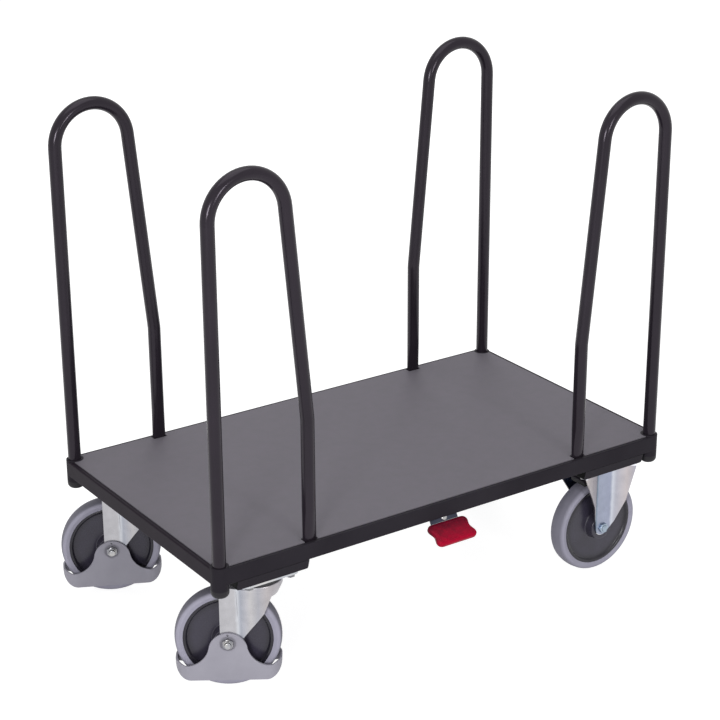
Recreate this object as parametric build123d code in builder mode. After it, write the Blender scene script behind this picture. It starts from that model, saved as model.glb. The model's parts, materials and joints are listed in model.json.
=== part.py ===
"""Side rail trolley: a platform on four castors with a tall tube hoop at each corner.

Millimetres, +Z up. The origin is on the floor under the middle of the deck. +X runs along the
trolley towards the fixed castors, and -Y is the long side with the foot pedal.
"""
import os
from math import asin, atan2, cos, degrees, hypot, radians, sin, sqrt, tan

from build123d import *

# Frame and deck
leg_span_x = 1016.0  # between the outer legs of the hoops, along the trolley
leg_span_y = 560.0  # between the outer legs of the hoops, across the trolley
deck_height = 291.0  # top of the rim above the floor
frame_height = 32.0
rim_width = 8.5
rim_round = 2.5
rail_wall = 2.0
ledge_width = 24.0
ledge_thickness = 3.0
board_thickness = 15.0
board_rise = 1.5  # the board stands this far above the rim
board_gap = 0.6
notch_corner_radius = 3.0
weld_gap = 0.05

# Corner sleeves and their caps
sleeve_diameter = 34.0
sleeve_rise = 2.0  # above the rim
sleeve_drop = 12.0  # below the frame
sleeve_edge_round = 1.5
socket_clearance = 0.05
cap_height = 15.5
cap_round = 10.0
cap_stem_height = 6.0

# Hoops
tube_diameter = 25.6
tube_wall = 2.0
hoop_height = 724.0  # top of the arch above the rim
arch_radius = 76.5
leg_spacing = 190.5
kink_height = 239.0  # where the inner leg starts to lean
kink_radius = 70.0
foot_height = 60.0
foot_width = 28.5
foot_depth = 15.5
foot_gap = 0.1

# Castor carriers
carrier_width = 152.0
carrier_height = 20.0
carrier_wall = 3.0
carrier_top_inset = 0.5  # end of the tray behind the rail's outer face, at its top
carrier_bottom_inset = 6.0
carrier_edge_round = 3.5  # outside, along the tray's lower edges

# Castors
castor_end_inset = 104.0  # middle of a castor's plate inside the hoops' outer legs, along the trolley
castor_side_inset = 49.5  # the same, across the trolley
plate_thickness = 4.0
plate_corner_radius = 10.0
bolt_diameter = 10.0
bolt_head_size = 16.0  # across flats
bolt_head_height = 6.5
bolt_hole_clearance = 0.5
bolt_end = 3.0  # thread standing out of a nut
nut_height = 8.0
leg_thickness = 3.5
axle_diameter = 12.0
axle_tube_diameter = 15.0
axle_nut_size = 19.0
axle_nut_height = 9.0
axle_head_height = 7.5
running_clearance = 0.05
side_clearance = 0.3

# Wheels
tyre_thickness = 16.0
tyre_half_width = 19.0
tyre_crown = 1.2
tyre_shoulder = 8.0
rim_half_width = 17.0
rim_flange = 5.0
rim_web_half = 12.5
rim_slope = 3.0
hub_length = 60.0
hub_diameter = 52.0
hub_taper = 4.0
bearing_diameter = 35.0
bearing_width = 11.0
bearing_groove_depth = 1.0
bearing_ring_width = 3.0
bond_gap = 0.05

# Swivel castors
swivel_trail = 53.0
swivel_yaw_front = -33.0  # heading of the castor, in degrees from +X
swivel_yaw_rear = -26.0
swivel_plate_x = 116.0
swivel_plate_y = 122.0
swivel_bolt_x = 88.0
swivel_bolt_y = 99.0
fork_web_thickness = 4.0
fork_web_gap = 11.0  # from the tyre up to the fork's web
fork_tip_radius = 16.0
fork_tip_lead = 2.0  # centre of the round tip ahead of the axle
fork_lead_angle = 52.0  # slope of the leg's leading edge
fork_lead_reach = 86.0  # leading edge ahead of the axle
crown_radius = 50.0
crown_edge_round = 2.5
skirt_drop = 18.0
skirt_taper = 8.0
skirt_angle = 100.0
flare_start = 21.0  # bend line of the leg, ahead of the axle
flare_overlap = 2.0  # of the flare into the flat of the leg
flare_rise = 30.0  # foot of the flare above the axle
flare_spread = 9.0  # spacing of the flare's lower points
flare_angles = (135.0, 112.0, 90.0, 66.0, 45.0)  # its upper points round the crown, from the heading
ball_diameter = 7.0
ball_count = 20
ball_clearance = 0.1
ball_pitch_radius = 37.0
race_half_width = 6.5
race_ring_height = 6.4
seal_wall = 2.5
seal_gap = 0.6
kingpin_diameter = 14.0
kingpin_head_diameter = 26.0
kingpin_head_height = 8.0
kingpin_rivet_height = 6.0
kingpin_hole_gap = 2.0

# Foot guards
guard_end_inset = 1.0  # ends of the guard inside the tread
guard_wall = 3.5
guard_end_radius = 30.0
guard_bottom_drop = 77.0  # below the axle
guard_valley_drop = 48.0
guard_end_drop = 43.0
guard_bell_radius = 36.0
guard_bell_drop = 15.0  # centre of the bell below the axle
guard_dip_radius = 46.0
guard_corner_radius = 29.0
guard_end_round = 5.0
guard_recess_diameter = 29.0
guard_recess_depth = 1.5
guard_hole_diameter = 4.0
guard_hole_rise = 17.0  # above the axle

# Fixed castors
fixed_plate_length = 130.0
fixed_bolt_x = 108.0
fixed_bolt_y = 73.0
fixed_axle_lead = 4.5  # of the axle past the plate's middle
fixed_tip_radius = 17.0
fixed_tip_lag = 2.0  # centre of the round tip behind and above the axle
fixed_tip_rise = 2.5
fixed_channel_back = 19.0  # bend lines of a leg, behind and ahead of the axle
fixed_channel_front = 23.5
fixed_back_fold = 25.4  # flanges folded out from the flat of the leg
fixed_front_fold = 37.1
fixed_bend_radius = 8.0
fixed_lead_angle = 45.0  # slope of the front edge where it leaves the round tip
fixed_front_edge = ((25.0, 3.0), (45.0, 57.0))  # its corners, ahead of and above the axle
fixed_back_edge = ((-26.0, 52.0), (-22.0, 18.0))
fixed_edge_radius = 30.0
fixed_nut_height = 5.0
fixed_bolt_end = 1.0

# Pedal
pedal_x = -18.0
pedal_pivot_inset = 33.0  # behind the rail's outer face
pedal_pivot_drop = 7.0  # below the frame
pedal_slope = 25.0  # of the pad
pedal_drop_slope = 60.0  # of the lever between its two bends
pedal_bend_reach = 27.8  # from the pivot out to the lower bend
pedal_bend_drop = 4.4
pedal_bend_radius = 6.0
pedal_travel = 20.0
pedal_pin_diameter = 10.0
pedal_tube_diameter = 16.0
pedal_tube_length = 70.0
pedal_lever_width = 62.0
pedal_lever_thickness = 4.0
pedal_arm_width = 30.0
pedal_arm_thickness = 6.0
pedal_arm_drop = 19.0
pedal_tip_length = 14.0  # level end of the arm, under the brake's long arm
pad_start = 2.5  # past the lever's lower bend
pad_length = 49.5
pad_span = 99.0  # across the pad's corner points, before they are rounded
pad_waist = 9.0
pad_corner = 11.0
pad_cover = 3.2
pad_end_wall = 10.0
pad_edge_round = 3.0
rivet_diameter = 13.0
rivet_height = 2.5
rivet_round = 2.2
rivet_rise = 7.5  # up the lever from its lower bend
lug_thickness = 4.0
lug_eye_radius = 10.0
lug_width = 14.0
lug_gap = 0.5
pin_head_diameter = 15.0
pin_head_thickness = 3.0
pin_end = 3.0

# Brake rocker
shaft_from_axle = 112.5
shaft_drop = 30.0  # below the frame
shaft_diameter = 16.0
shaft_collar_diameter = 24.0
shaft_collar_width = 6.0
bracket_from_arm = 83.0  # along the shaft
bracket_thickness = 5.0
bracket_eye_radius = 14.0
bracket_height = 18.0
rocker_thickness = 6.0
rocker_height = 16.0
rocker_eye_radius = 14.0
rocker_tyre_gap = 2.5
rocker_end = 15.0  # past the pedal arm's middle
rocker_gap = 0.4
shoe_angle = 15.0  # from the top of the wheel towards the middle of the trolley
shoe_length = 30.0
shoe_overhang = 2.0  # past the tyre's outer side
shoe_gap = 6.0
shoe_plate = 4.0
shoe_pad_thickness = 8.0

# Places worked out from the sizes above
up = Vector(0, 0, 1)
half_x = (leg_span_x + sleeve_diameter) / 2
half_y = (leg_span_y + sleeve_diameter) / 2
sleeve_radius = sleeve_diameter / 2
tube_radius = tube_diameter / 2
board_top = deck_height + board_rise
ledge_top = board_top - board_thickness
ledge_bottom = ledge_top - ledge_thickness
frame_bottom = deck_height - frame_height
sleeve_bottom = frame_bottom - sleeve_drop
carrier_bottom = frame_bottom - carrier_height
plate_bottom = carrier_bottom - plate_thickness
race_top = plate_bottom - race_ring_height
race_bottom = race_top - ball_diameter - 2 * ball_clearance
web_top = race_bottom - race_ring_height
web_bottom = web_top - fork_web_thickness
wheel_diameter = web_bottom - fork_web_gap
wheel_radius = wheel_diameter / 2
castor_x = leg_span_x / 2 - castor_end_inset
castor_y = leg_span_y / 2 - castor_side_inset
axle_x = castor_x + fixed_axle_lead
bolt_grids = {-1: (swivel_bolt_x, swivel_bolt_y), 1: (fixed_bolt_x, fixed_bolt_y)}
leg_inner = hub_length / 2
leg_outer = leg_inner + leg_thickness
foot_inset = rim_width + foot_gap + foot_depth / 2
ends = (("left", -1), ("right", 1))
sides = (("front", -1), ("rear", 1))
corners = [(f"{side}_{end}", ex, sy) for side, sy in sides for end, ex in ends]

os.makedirs("parts", exist_ok=True)


def save(piece, name):
    """Label a finished piece and write it as its own STEP file."""
    piece.part.label = name
    export_step(piece.part, f"parts/{name}.step")


def sleeve_cut(reach):
    """Remove the corner sleeves' space, as wide as reach, from the part being built."""
    with Locations((0, 0, frame_bottom + frame_height / 2)):
        with GridLocations(leg_span_x, leg_span_y, 2, 2):
            Cylinder(reach, 2 * frame_height, mode=Mode.SUBTRACT)


# Rails: a rolled hollow section whose top is the rim round the board, with a ledge under the board.
# Each runs from sleeve to sleeve, and the long rails' ledges stop at the end rails' ledges.
long_ledge = half_x - rim_width - ledge_width
rails = (
    ("front_rail", (0, -half_y), (0, 1, 0), leg_span_x / 2, long_ledge),
    ("rear_rail", (0, half_y), (0, -1, 0), leg_span_x / 2, long_ledge),
    ("left_end_rail", (-half_x, 0), (1, 0, 0), leg_span_y / 2, leg_span_y / 2),
    ("right_end_rail", (half_x, 0), (-1, 0, 0), leg_span_y / 2, leg_span_y / 2),
)
for rail_name, (face_x, face_y), inward, half_run, half_ledge in rails:
    section = Plane((face_x, face_y, deck_height), x_dir=inward, z_dir=Vector(inward).cross(up))
    with BuildPart() as rail:
        with BuildSketch(section):
            with Locations((rim_width / 2, -frame_height / 2)):
                Rectangle(rim_width, frame_height)
            outer_corners = vertices().group_by(Axis.X)[0]
            fillet(outer_corners, rim_round)
            offset(amount=-rail_wall, kind=Kind.INTERSECTION, mode=Mode.SUBTRACT)
        extrude(amount=half_run, both=True)
        with BuildSketch(section):
            with Locations((rim_width, ledge_top - deck_height)):
                Rectangle(ledge_width, ledge_thickness, align=(Align.MIN, Align.MAX))
        extrude(amount=half_ledge, both=True)
        sleeve_cut(sleeve_radius + weld_gap)
    save(rail, rail_name)

# Corner sleeves: pipe stubs that the hoops' outer legs plug into, flush with the frame's faces.
sleeve_length = deck_height + sleeve_rise - sleeve_bottom
for corner, ex, sy in corners:
    foot_of_sleeve = (ex * leg_span_x / 2, sy * leg_span_y / 2, sleeve_bottom)
    with BuildPart() as sleeve:
        with BuildSketch(Plane(foot_of_sleeve)):
            Circle(sleeve_radius)
            Circle(tube_radius + socket_clearance, mode=Mode.SUBTRACT)
        extrude(amount=sleeve_length)
        upper_edges = edges().filter_by(GeomType.CIRCLE).group_by(Axis.Z)[-1]
        fillet(upper_edges.sort_by(SortBy.RADIUS)[-1], sleeve_edge_round)
    save(sleeve, f"corner_sleeve_{corner}")

# Sleeve caps: rounded plastic plugs in the lower ends of the sleeves.
with BuildPart() as sleeve_caps:
    with Locations((0, 0, sleeve_bottom)):
        with GridLocations(leg_span_x, leg_span_y, 2, 2):
            Cylinder(sleeve_radius, cap_height, align=(Align.CENTER, Align.CENTER, Align.MAX))
    fillet(edges().filter_by(GeomType.CIRCLE).group_by(Axis.Z)[0], cap_round)
    with Locations((0, 0, sleeve_bottom)):
        with GridLocations(leg_span_x, leg_span_y, 2, 2):
            Cylinder(tube_radius, cap_stem_height, align=(Align.CENTER, Align.CENTER, Align.MIN))
save(sleeve_caps, "sleeve_caps")

# Deck board: lies on the ledges, notched round the sleeves and the flattened feet of the hoops.
board_x = 2 * (half_x - rim_width - board_gap)
board_y = 2 * (half_y - rim_width - board_gap)
notch_width = foot_width + 2 * board_gap
notch_depth = foot_inset + foot_depth / 2 + board_gap
with BuildPart() as deck_board:
    with BuildSketch(Plane((0, 0, ledge_top))):
        Rectangle(board_x, board_y)
        with GridLocations(leg_span_x, leg_span_y, 2, 2):
            Circle(sleeve_radius + board_gap, mode=Mode.SUBTRACT)
        with GridLocations(leg_span_x - 2 * leg_spacing, 2 * half_y, 2, 2):
            RectangleRounded(notch_width, 2 * notch_depth, notch_corner_radius, mode=Mode.SUBTRACT)
    extrude(amount=board_thickness)
save(deck_board, "deck_board")

# Hoops: one bent tube each. The outer leg stands in the sleeve, the arch is round, and the inner leg
# leans out from the arch to a kink and then drops straight to a flattened foot behind the rim.
arch_height = hoop_height - tube_radius - arch_radius
kink_out = leg_spacing - arch_radius
kink_down = arch_height - kink_height
lean = atan2(kink_out, kink_down) - asin(arch_radius / hypot(kink_out, kink_down))
arch_end = (arch_radius + arch_radius * cos(lean), arch_height + arch_radius * sin(lean))
socket_depth = deck_height - sleeve_bottom - cap_stem_height
for corner, ex, sy in corners:
    upright = Plane(
        (ex * leg_span_x / 2, sy * leg_span_y / 2, deck_height), x_dir=(-ex, 0, 0), z_dir=(0, ex, 0)
    )
    foot_x = ex * (leg_span_x / 2 - leg_spacing)
    foot_y = sy * (half_y - foot_inset)
    with BuildPart() as hoop:
        with BuildLine(upright) as tube_path:
            Line((0, -socket_depth), (0, arch_height))
            ThreePointArc((0, arch_height), (arch_radius, arch_height + arch_radius), arch_end)
            FilletPolyline(
                arch_end, (leg_spacing, kink_height), (leg_spacing, foot_height), radius=kink_radius
            )
        with BuildSketch(Plane((ex * leg_span_x / 2, sy * leg_span_y / 2, deck_height - socket_depth))):
            Circle(tube_radius)
            Circle(tube_radius - tube_wall, mode=Mode.SUBTRACT)
        sweep(path=tube_path.wire())
        with BuildSketch(Plane((foot_x, sy * leg_span_y / 2, deck_height + foot_height))):
            Circle(tube_radius)
        with BuildSketch(Plane((foot_x, foot_y, deck_height))):
            Ellipse(foot_width / 2, foot_depth / 2)
        loft()
        with BuildSketch(Plane((foot_x, foot_y, deck_height))):
            Ellipse(foot_width / 2, foot_depth / 2)
        extrude(amount=ledge_top - deck_height)
    save(hoop, f"hoop_{corner}")

# Castor carriers: folded steel trays across the frame, with sloping ends under the long rails.
kingpin_hole = kingpin_head_diameter / 2 + kingpin_hole_gap
for end, ex in ends:
    with BuildPart() as carrier:
        with BuildSketch(Plane.YZ.offset(ex * castor_x - carrier_width / 2)):
            with BuildLine():
                Polyline(
                    (-(half_y - carrier_top_inset), frame_bottom),
                    (half_y - carrier_top_inset, frame_bottom),
                    (half_y - carrier_bottom_inset, carrier_bottom),
                    (-(half_y - carrier_bottom_inset), carrier_bottom),
                    close=True,
                )
            make_face()
        extrude(amount=carrier_width)
        fillet(edges().group_by(Axis.Z)[0].filter_by(Axis.Y), carrier_edge_round)
        offset(amount=-carrier_wall, openings=faces().sort_by(Axis.Z)[-1])
        castor_tops = [(ex * castor_x, sy * castor_y, carrier_bottom) for sy in (-1, 1)]
        with Locations(*castor_tops):
            with GridLocations(*bolt_grids[ex], 2, 2):
                Cylinder(bolt_diameter / 2 + bolt_hole_clearance, carrier_height, mode=Mode.SUBTRACT)
        if ex < 0:
            with Locations(*castor_tops):
                Cylinder(kingpin_hole, carrier_height, mode=Mode.SUBTRACT)
    save(carrier, "swivel_carrier" if ex < 0 else "fixed_carrier")

# Castor bolts and nuts: four to each castor, heads below the plates and nuts inside the carriers.
bolt_places = [
    (ex * castor_x + bx * bolt_grids[ex][0] / 2, sy * castor_y + by * bolt_grids[ex][1] / 2)
    for ex in (-1, 1)
    for sy in (-1, 1)
    for bx in (-1, 1)
    for by in (-1, 1)
]
nut_bottom = carrier_bottom + carrier_wall
with BuildPart() as castor_bolts:
    with BuildSketch(Plane.XY.offset(plate_bottom - bolt_head_height)):
        with Locations(*bolt_places):
            RegularPolygon(bolt_head_size / 2, 6, major_radius=False)
    extrude(amount=bolt_head_height)
    with BuildSketch(Plane.XY.offset(plate_bottom)):
        with Locations(*bolt_places):
            Circle(bolt_diameter / 2)
    extrude(amount=nut_bottom + nut_height + bolt_end - plate_bottom)
save(castor_bolts, "castor_bolts")

with BuildPart() as castor_nuts:
    with BuildSketch(Plane.XY.offset(nut_bottom)):
        with Locations(*bolt_places):
            RegularPolygon(bolt_head_size / 2, 6, major_radius=False)
            Circle(bolt_diameter / 2 + running_clearance, mode=Mode.SUBTRACT)
    extrude(amount=nut_height)
save(castor_nuts, "castor_nuts")

# Swivel castors: where each kingpin and wheel stands, and the planes that its pieces are drawn on.
# The side plane holds heading and height, with its normal along the axle towards the nut.
seal_radius = crown_radius - crown_edge_round
axle_hole = axle_diameter / 2 + running_clearance
swivels = []
for side, sy, yaw in (("front", -1, swivel_yaw_front), ("rear", 1, swivel_yaw_rear)):
    heading = Vector(cos(radians(yaw)), sin(radians(yaw)), 0)
    kingpin_at = Vector(-castor_x, sy * castor_y, 0)
    wheel_at = kingpin_at - heading * swivel_trail
    swivels.append((side, heading, kingpin_at, wheel_at))

for (side, sy) in sides:
    with BuildPart() as swivel_plate:
        with BuildSketch(Plane((-castor_x, sy * castor_y, plate_bottom))):
            RectangleRounded(swivel_plate_x, swivel_plate_y, plate_corner_radius)
            with GridLocations(swivel_bolt_x, swivel_bolt_y, 2, 2):
                Circle(bolt_diameter / 2 + bolt_hole_clearance, mode=Mode.SUBTRACT)
            Circle(kingpin_diameter / 2 + running_clearance, mode=Mode.SUBTRACT)
        extrude(amount=plate_thickness)
        with BuildSketch(Plane((-castor_x, sy * castor_y, race_top))):
            Circle(ball_pitch_radius + race_half_width)
            Circle(ball_pitch_radius - race_half_width, mode=Mode.SUBTRACT)
        extrude(amount=race_ring_height)
    save(swivel_plate, f"swivel_plate_{side}")

# Kingpins: riveted over the plates, with a head under each fork's web.
with BuildPart() as kingpins:
    with Locations((-castor_x, castor_y), (-castor_x, -castor_y)):
        with Locations((0, 0, web_bottom - side_clearance)):
            Cylinder(
                kingpin_head_diameter / 2, kingpin_head_height, align=(Align.CENTER, Align.CENTER, Align.MAX)
            )
            Cylinder(
                kingpin_diameter / 2,
                carrier_bottom - web_bottom + side_clearance,
                align=(Align.CENTER, Align.CENTER, Align.MIN),
            )
        with Locations((0, 0, carrier_bottom)):
            Cone(
                kingpin_head_diameter / 2,
                kingpin_diameter / 2,
                kingpin_rivet_height,
                align=(Align.CENTER, Align.CENTER, Align.MIN),
            )
save(kingpins, "kingpins")


lead = radians(fork_lead_angle)
fork_back = fork_tip_lead - fork_tip_radius
tip_low = (fork_tip_lead, wheel_radius - fork_tip_radius)
tip_end = (fork_tip_lead + fork_tip_radius * sin(lead), wheel_radius - fork_tip_radius * cos(lead))
shoulder = (fork_lead_reach, tip_end[1] + (fork_lead_reach - tip_end[0]) * sin(lead) / cos(lead))


def leg_outline(top):
    """Side outline of a swivel fork's leg: upright behind, round at the axle, sloping in front."""
    with BuildLine() as outline:
        Polyline(
            (fork_back, wheel_radius),
            (fork_back, top),
            (fork_lead_reach, top),
            shoulder,
            tip_end,
        )
        RadiusArc(tip_end, tip_low, fork_tip_radius)
        RadiusArc(tip_low, (fork_back, wheel_radius), fork_tip_radius)
    return outline.edges()


def flare_foot(way):
    """Outer and inner plan points of a flare's lower end, in line with the flat of the leg."""
    along = [flare_start - flare_overlap]
    along += [flare_start + step * flare_spread for step in range(len(flare_angles))]
    return [((place, way * leg_outer), (place, way * leg_inner)) for place in along]


def flare_top(way):
    """Outer and inner plan points of a flare's upper end, from the flat of the leg round the crown."""
    back = flare_start - flare_overlap
    inside = crown_radius - leg_thickness
    points = [((back, way * leg_outer), (back, way * leg_inner))]
    for angle in flare_angles:
        ahead = cos(radians(angle))
        aside = way * sin(radians(angle))
        outer = (swivel_trail + crown_radius * ahead, crown_radius * aside)
        points.append((outer, (swivel_trail + inside * ahead, inside * aside)))
    return points


guard_half_length = wheel_radius - guard_end_inset


def guard_outline():
    """Side outline of a foot guard: a bell round the axle, a dip on each side, and two raised ends."""
    bell_z = wheel_radius - guard_bell_drop
    bottom = wheel_radius - guard_bottom_drop
    valley = wheel_radius - guard_valley_drop
    end_top = wheel_radius - guard_end_drop
    dip_z = valley + guard_dip_radius
    both_radii = guard_bell_radius + guard_dip_radius
    dip_x = sqrt(both_radii**2 - (dip_z - bell_z) ** 2)
    meet_x = dip_x * guard_bell_radius / both_radii
    meet_z = bell_z + (dip_z - bell_z) * guard_bell_radius / both_radii
    with BuildLine() as outline:
        ThreePointArc((-meet_x, meet_z), (0, bell_z + guard_bell_radius), (meet_x, meet_z))
        for way in (-1, 1):
            rise_x = way * (guard_half_length - guard_end_round)
            RadiusArc((way * meet_x, meet_z), (way * dip_x, valley), -way * guard_dip_radius)
            Line((way * dip_x, valley), (rise_x, end_top))
            Line((rise_x, end_top), (way * guard_half_length, end_top))
            Line((way * guard_half_length, end_top), (way * guard_half_length, bottom))
        Line((-guard_half_length, bottom), (guard_half_length, bottom))
    return outline.edges()


for side, heading, kingpin_at, wheel_at in swivels:
    across = heading.cross(up)
    side_plane = Plane(wheel_at, x_dir=heading, z_dir=across)
    plan = Plane(wheel_at, x_dir=heading, z_dir=(0, 0, 1))

    # Swivel fork: two legs under a flat web, with the lower ball race on a round crown and a skirt round the
    # front. Ahead of the bend line each leg flares out from the flat to the round of the crown.
    with BuildPart() as swivel_fork:
        for way in (-1, 1):
            feet = flare_foot(way)
            tops = flare_top(way)
            for step in range(len(flare_angles)):
                with BuildSketch(plan.offset(wheel_radius + flare_rise)):
                    with BuildLine():
                        Polyline(*feet[step], *reversed(feet[step + 1]), close=True)
                    make_face()
                with BuildSketch(plan.offset(web_bottom)):
                    with BuildLine():
                        Polyline(*tops[step], *reversed(tops[step + 1]), close=True)
                    make_face()
                loft(ruled=True)
        with BuildSketch(side_plane):
            with BuildLine():
                Polyline(
                    tip_end,
                    shoulder,
                    (shoulder[0], web_top),
                    (shoulder[0] + crown_radius, web_top),
                    (shoulder[0] + crown_radius, tip_end[1]),
                    close=True,
                )
            make_face()
        extrude(amount=2 * crown_radius, both=True, mode=Mode.SUBTRACT)
        for way in (-1, 1):
            with BuildSketch(side_plane.offset(way * leg_inner)):
                make_face(leg_outline(web_top))
                with Locations((0, wheel_radius)):
                    Circle(axle_hole, mode=Mode.SUBTRACT)
                with Locations((flare_start, wheel_radius + flare_rise)):
                    Rectangle(wheel_radius, wheel_diameter, align=(Align.MIN, Align.MIN), mode=Mode.SUBTRACT)
            extrude(amount=way * leg_thickness)
        with BuildSketch(plan.offset(web_bottom)):
            with BuildSketch(mode=Mode.PRIVATE) as web_outline:
                with Locations((swivel_trail, 0)):
                    Circle(crown_radius)
                with Locations((fork_back, 0)):
                    Rectangle(swivel_trail, 2 * leg_outer, align=(Align.MIN, Align.CENTER))
            make_hull(web_outline.sketch.edges())
        extrude(amount=fork_web_thickness)
        with BuildSketch(Plane(kingpin_at).offset(web_top)):
            Circle(crown_radius)
            Circle(ball_pitch_radius - race_half_width, mode=Mode.SUBTRACT)
        extrude(amount=race_ring_height)
        crown_edges = edges().filter_by(GeomType.CIRCLE).group_by(Axis.Z)[-1]
        fillet(crown_edges.sort_by(SortBy.RADIUS)[-1], crown_edge_round)
        skirt_from = heading.rotate(Axis.Z, -skirt_angle / 2)
        with BuildSketch(Plane(kingpin_at, x_dir=skirt_from, z_dir=skirt_from.cross(up))):
            with BuildLine():
                Polyline(
                    (crown_radius, web_bottom),
                    (crown_radius - skirt_taper, web_bottom - skirt_drop),
                    (crown_radius - skirt_taper - leg_thickness, web_bottom - skirt_drop),
                    (crown_radius - leg_thickness, web_bottom),
                    close=True,
                )
            make_face()
        revolve(axis=Axis(kingpin_at, (0, 0, 1)), revolution_arc=skirt_angle)
        with Locations(kingpin_at + Vector(0, 0, web_bottom)):
            Cylinder(kingpin_diameter / 2 + running_clearance, 4 * fork_web_thickness, mode=Mode.SUBTRACT)
    save(swivel_fork, f"swivel_fork_{side}")

    # Balls of the swivel head, between the plate's race and the fork's.
    with BuildPart() as swivel_balls:
        with Locations(kingpin_at + Vector(0, 0, (race_bottom + race_top) / 2)):
            with PolarLocations(ball_pitch_radius, ball_count):
                Sphere(ball_diameter / 2)
    save(swivel_balls, f"swivel_balls_{side}")

    # Dust seal: a ring on the fork's crown that closes the ball race below the plate.
    with BuildPart() as swivel_seal:
        with BuildSketch(Plane(kingpin_at).offset(race_bottom)):
            Circle(seal_radius)
            Circle(seal_radius - seal_wall, mode=Mode.SUBTRACT)
        extrude(amount=plate_bottom - seal_gap - race_bottom)
    save(swivel_seal, f"swivel_seal_{side}")

    # Foot guard: a plastic band round the wheel, held by the axle bolt.
    guard_half_width = leg_outer + guard_wall
    clamp_half = guard_half_width - guard_recess_depth
    with BuildPart() as foot_guard:
        with BuildSketch(plan):
            RectangleRounded(2 * guard_half_length, 2 * guard_half_width, guard_end_radius)
            RectangleRounded(
                2 * (guard_half_length - guard_wall),
                2 * leg_outer,
                guard_end_radius - guard_wall,
                mode=Mode.SUBTRACT,
            )
        extrude(amount=wheel_diameter)
        with BuildSketch(side_plane):
            make_face(guard_outline())
            lowest = vertices().group_by(Axis.Y)[0]
            fillet(lowest, guard_corner_radius)
            with Locations((0, wheel_radius)):
                Circle(axle_hole, mode=Mode.SUBTRACT)
            with Locations((0, wheel_radius + guard_hole_rise)):
                Circle(guard_hole_diameter / 2, mode=Mode.SUBTRACT)
        extrude(amount=2 * guard_half_width, both=True, mode=Mode.INTERSECT)
        for way in (-1, 1):
            with BuildSketch(side_plane.offset(way * clamp_half)):
                with Locations((0, wheel_radius)):
                    Circle(guard_recess_diameter / 2)
            extrude(amount=way * guard_wall, mode=Mode.SUBTRACT)
    save(foot_guard, f"foot_guard_{side}")

    # Axle bolt, nut and tube: they clamp the legs and guard, and the wheel turns on the tube.
    with BuildPart() as axle_bolt:
        with BuildSketch(side_plane.offset(-clamp_half)):
            with Locations((0, wheel_radius)):
                RegularPolygon(axle_nut_size / 2, 6, major_radius=False)
        extrude(amount=-axle_head_height)
        with BuildSketch(side_plane.offset(-clamp_half)):
            with Locations((0, wheel_radius)):
                Circle(axle_diameter / 2)
        extrude(amount=2 * clamp_half + axle_nut_height + bolt_end)
    save(axle_bolt, f"swivel_axle_bolt_{side}")

    with BuildPart() as axle_nut:
        with BuildSketch(side_plane.offset(clamp_half)):
            with Locations((0, wheel_radius)):
                RegularPolygon(axle_nut_size / 2, 6, major_radius=False)
                Circle(axle_hole, mode=Mode.SUBTRACT)
        extrude(amount=axle_nut_height)
    save(axle_nut, f"swivel_axle_nut_{side}")

    with BuildPart() as axle_tube:
        with BuildSketch(side_plane):
            with Locations((0, wheel_radius)):
                Circle(axle_tube_diameter / 2)
                Circle(axle_hole, mode=Mode.SUBTRACT)
        extrude(amount=leg_inner, both=True)
    save(axle_tube, f"swivel_axle_tube_{side}")

# Fixed castors: each fork is one pressed sheet, a plate with two upright legs under it. A leg is flat at
# the axle, between two flanges that fold outwards to the plate's corners.
fixed_side = Plane((axle_x, 0, 0), x_dir=(1, 0, 0), z_dir=(0, -1, 0))
plate_back = -fixed_plate_length / 2 - fixed_axle_lead
plate_front = fixed_plate_length / 2 - fixed_axle_lead
back_rise = (-plate_back - fixed_channel_back) * tan(radians(fixed_back_fold))
front_rise = (plate_front - fixed_channel_front) * tan(radians(fixed_front_fold))
leg_corners = (
    (plate_back, leg_outer + back_rise),
    (-fixed_channel_back, leg_outer),
    (fixed_channel_front, leg_outer),
    (plate_front, leg_outer + front_rise),
)


def leg_section():
    """Plan section of a fixed leg, with its outer face away from the wheel."""
    with BuildLine() as outline:
        FilletPolyline(*leg_corners, radius=fixed_bend_radius)
        offset(amount=leg_thickness, side=Side.RIGHT)
    return outline.edges()


def half_plate():
    """Plan outline of the plate on one side of the wheel, in line with the leg's outer face."""
    with BuildLine() as outline:
        FilletPolyline(*leg_corners, radius=fixed_bend_radius)
        Polyline(leg_corners[-1], (plate_front, 0), (plate_back, 0), leg_corners[0])
    return outline.edges()


def fork_outline():
    """Side outline of a fixed fork: wide at the plate, round at the axle."""
    slope_in = radians(fixed_lead_angle)
    tip_z = wheel_radius + fixed_tip_rise
    tip_low = (-fixed_tip_lag, tip_z - fixed_tip_radius)
    tip_back = (-fixed_tip_lag - fixed_tip_radius, tip_z)
    tip_front = (-fixed_tip_lag + fixed_tip_radius * sin(slope_in), tip_z - fixed_tip_radius * cos(slope_in))
    with BuildLine() as outline:
        Polyline(
            tip_front,
            *[(ahead, wheel_radius + rise) for ahead, rise in fixed_front_edge],
            (plate_front, carrier_bottom),
            (plate_back, carrier_bottom),
            (plate_back, plate_bottom),
            *[(ahead, wheel_radius + rise) for ahead, rise in fixed_back_edge],
            tip_back,
        )
        RadiusArc(tip_back, tip_low, -fixed_tip_radius)
        RadiusArc(tip_low, tip_front, -fixed_tip_radius)
    return outline.edges()


def level(height):
    """Corners of the sketch being drawn that lie at a height above the floor."""
    return vertices().filter_by_position(Axis.Y, height, height, inclusive=(True, True))


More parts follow.
